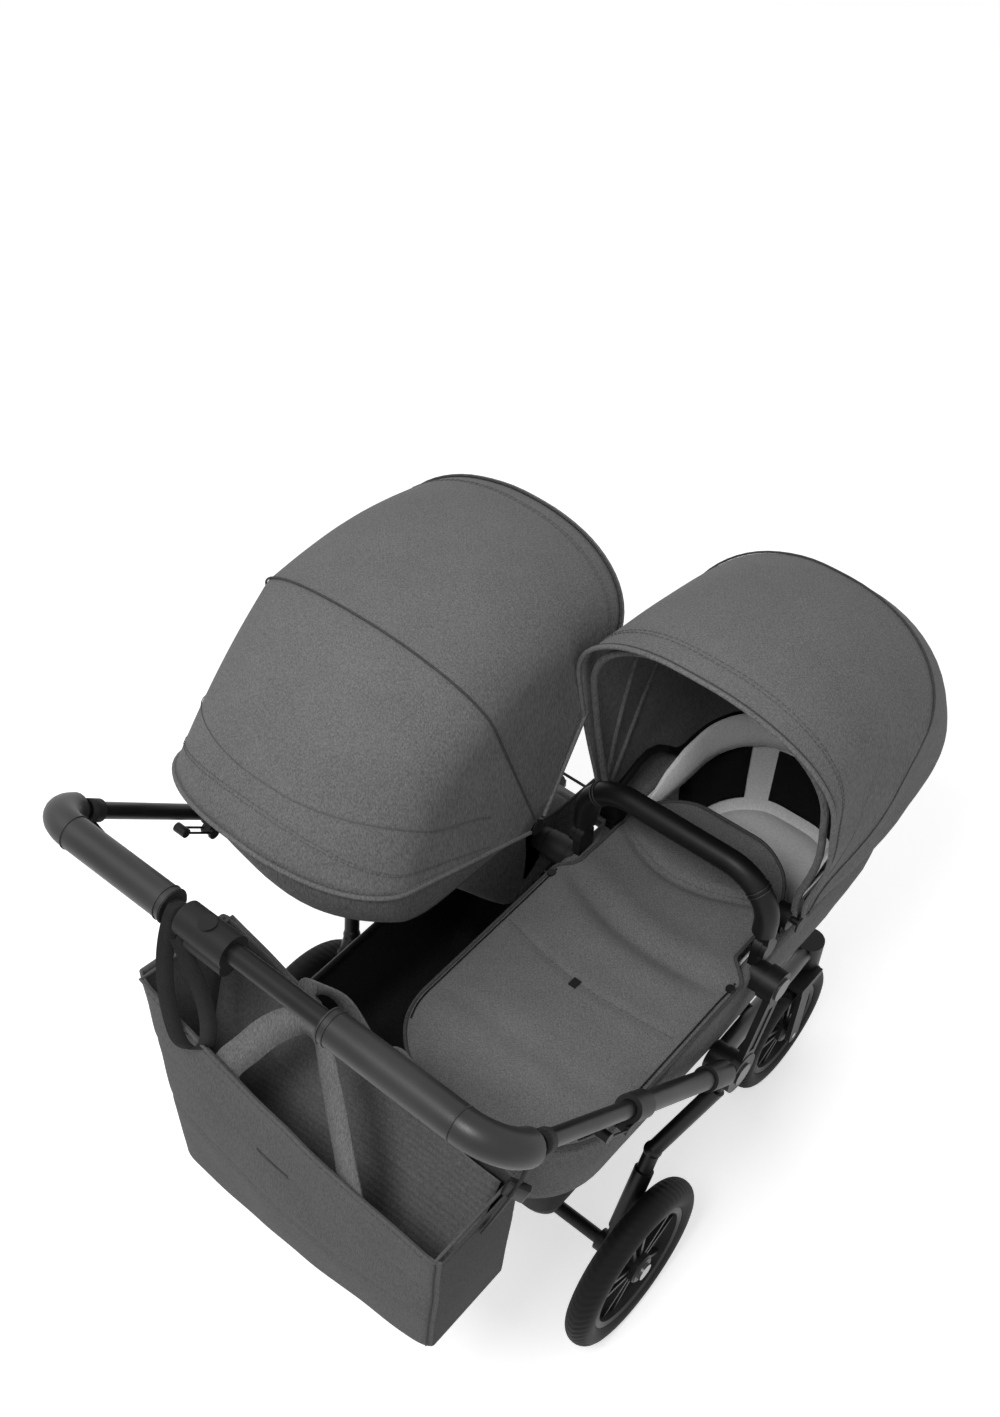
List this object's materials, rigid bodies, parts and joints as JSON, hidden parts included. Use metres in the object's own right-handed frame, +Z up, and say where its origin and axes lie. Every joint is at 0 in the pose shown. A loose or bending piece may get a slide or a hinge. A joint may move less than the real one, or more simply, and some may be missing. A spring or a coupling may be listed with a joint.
{
  "type": "twin pram",
  "caption": "Side-by-side pram with a hooded forward seat, a hooded carrycot, telescopic handlebar, swivelling front wheels, under-seat basket and a changing bag.",
  "frame": {"origin": "on the floor under the middle of the whole pram's box", "axes": "+X to the right of the person pushing, +Y the way it travels, +Z up"},
  "size_m": [0.74, 1.1, 1.1175],
  "materials": {
    "black_paint": "satin",
    "black_plastic": "matte",
    "grey_plastic": "satin",
    "steel": "brushed",
    "tyre": "matte",
    "black_leather": "matte",
    "grey_fabric": "woven",
    "light_fabric": "woven",
    "black_fabric": "woven"
  },
  "bodies": {
    "frame": {"elbow_left": "black_plastic", "elbow_right": "black_plastic", "joint_caps": "grey_plastic", "joint_pins": "steel", "push_tubes": "black_paint", "clamp_collars": "black_plastic", "front_legs": "black_paint", "cross_beam": "black_paint", "front_crossbar": "black_paint", "centre_post": "black_plastic", "caster_housings": "black_plastic", "basket": "black_fabric", "basket_frame": "black_paint"},
    "clamp_lever_left": {"lever_left": "black_plastic"},
    "clamp_lever_right": {"lever_right": "black_plastic"},
    "swivel_lock_left": {"swivel_lock_left": "grey_plastic"},
    "swivel_lock_right": {"swivel_lock_right": "grey_plastic"},
    "caster_left": {"fork_left": "black_plastic", "front_axle_left": "steel"},
    "caster_right": {"fork_right": "black_plastic", "front_axle_right": "steel"},
    "front_wheel_left": {"front_tyre_left": "tyre", "front_rim_left": "black_plastic"},
    "front_wheel_right": {"front_tyre_right": "tyre", "front_rim_right": "black_plastic"},
    "rear_frame": {"rear_legs": "black_paint", "rear_axle_tube": "black_paint", "rear_axle_pins": "steel"},
    "rear_wheel_left": {"rear_tyre_left": "tyre", "rear_rim_left": "black_plastic"},
    "rear_wheel_right": {"rear_tyre_right": "tyre", "rear_rim_right": "black_plastic"},
    "brake": {"brake_pedal": "grey_plastic"},
    "handlebar": {"slide_tubes": "black_paint", "grip_left": "black_leather", "grip_right": "black_leather", "centre_tube": "black_paint", "lock_housing": "black_plastic", "wrist_strap": "black_fabric", "bag": "grey_fabric", "bag_handles": "grey_fabric", "bag_straps": "black_fabric"},
    "width_button": {"lock_button": "black_plastic"},
    "carrycot": {"cot_ring": "black_plastic", "cot_shell": "grey_fabric", "cot_board": "black_plastic", "mattress": "light_fabric", "apron": "grey_fabric", "cot_hubs": "black_plastic", "cot_canopy_rear": "grey_fabric"},
    "cot_handle": {"carry_handle": "black_plastic", "handle_wrap": "black_leather"},
    "cot_canopy": {"cot_canopy_front": "grey_fabric", "cot_bow": "black_paint"},
    "seat_mount": {"seat_clips": "black_plastic"},
    "seat": {"seat_shell": "grey_fabric", "seat_pad": "grey_fabric", "seat_canopy_rear": "grey_fabric"},
    "seat_canopy": {"seat_canopy_front": "grey_fabric", "seat_bow": "black_paint"}
  },
  "joints": [
    {"name": "rear_legs_fold", "type": "hinge", "parent": "frame", "child": "rear_frame", "pos_m": [0, 0.017, 0.5], "axis": [1, 0, 0], "range_deg": [0, 40]},
    {"name": "rear_wheel_left_spin", "type": "hinge", "parent": "rear_frame", "child": "rear_wheel_left", "pos_m": [-0.334, -0.143, 0.145], "axis": [1, 0, 0], "continuous": true},
    {"name": "caster_left_swivel", "type": "hinge", "parent": "frame", "child": "caster_left", "pos_m": [-0.262, 0.41, 0.3], "axis": [0, 0, 1], "continuous": true},
    {"name": "front_wheel_left_spin", "type": "hinge", "parent": "caster_left", "child": "front_wheel_left", "pos_m": [-0.262, 0.37, 0.122], "axis": [1, 0, 0], "continuous": true},
    {"name": "swivel_lock_left_slide", "type": "slide", "parent": "frame", "child": "swivel_lock_left", "axis": [0, 0, 1], "range_m": [0, 0.008]},
    {"name": "clamp_lever_left_open", "type": "hinge", "parent": "frame", "child": "clamp_lever_left", "pos_m": [-0.352, -0.26493, 0.71095], "axis": [1, 0, 0], "range_deg": [0, 95]},
    {"name": "rear_wheel_right_spin", "type": "hinge", "parent": "rear_frame", "child": "rear_wheel_right", "pos_m": [0.334, -0.143, 0.145], "axis": [1, 0, 0], "continuous": true},
    {"name": "caster_right_swivel", "type": "hinge", "parent": "frame", "child": "caster_right", "pos_m": [0.262, 0.41, 0.3], "axis": [0, 0, 1], "continuous": true},
    {"name": "front_wheel_right_spin", "type": "hinge", "parent": "caster_right", "child": "front_wheel_right", "pos_m": [0.262, 0.37, 0.122], "axis": [1, 0, 0], "continuous": true},
    {"name": "swivel_lock_right_slide", "type": "slide", "parent": "frame", "child": "swivel_lock_right", "axis": [0, 0, 1], "range_m": [0, 0.008]},
    {"name": "clamp_lever_right_open", "type": "hinge", "parent": "frame", "child": "clamp_lever_right", "pos_m": [0.352, -0.26493, 0.71095], "axis": [1, 0, 0], "range_deg": [0, 95]},
    {"name": "brake_press", "type": "hinge", "parent": "rear_frame", "child": "brake", "pos_m": [0, -0.143, 0.145], "axis": [1, 0, 0], "range_deg": [0, 18]},
    {"name": "handle_height", "type": "slide", "parent": "frame", "child": "handlebar", "axis": [0, -0.7505, 0.6609], "range_m": [0, 0.09]},
    {"name": "width_button_press", "type": "slide", "parent": "handlebar", "child": "width_button", "axis": [0, 0, -1], "range_m": [0, 0.004], "stiffness_N_per_m": 400},
    {"name": "cot_lift", "type": "slide", "parent": "frame", "child": "carrycot", "axis": [0, 0, 1], "range_m": [0, 0.4]},
    {"name": "carry_handle_swing", "type": "hinge", "parent": "carrycot", "child": "cot_handle", "pos_m": [0.172, 0.085, 0.684], "axis": [1, 0, 0], "range_deg": [0, 70]},
    {"name": "cot_canopy_fold", "type": "hinge", "parent": "carrycot", "child": "cot_canopy", "pos_m": [0.172, 0.15, 0.68], "axis": [1, 0, 0], "range_deg": [-56, 0]},
    {"name": "seat_lift", "type": "slide", "parent": "frame", "child": "seat_mount", "axis": [0, 0, 1], "range_m": [0, 0.4]},
    {"name": "seat_recline", "type": "hinge", "parent": "seat_mount", "child": "seat", "pos_m": [0, 0.075, 0.636], "axis": [1, 0, 0], "range_deg": [-12, 0]},
    {"name": "seat_canopy_fold", "type": "hinge", "parent": "seat", "child": "seat_canopy", "pos_m": [-0.187, 0.02, 0.73], "axis": [1, 0, 0], "range_deg": [0, 40]}
  ]
}
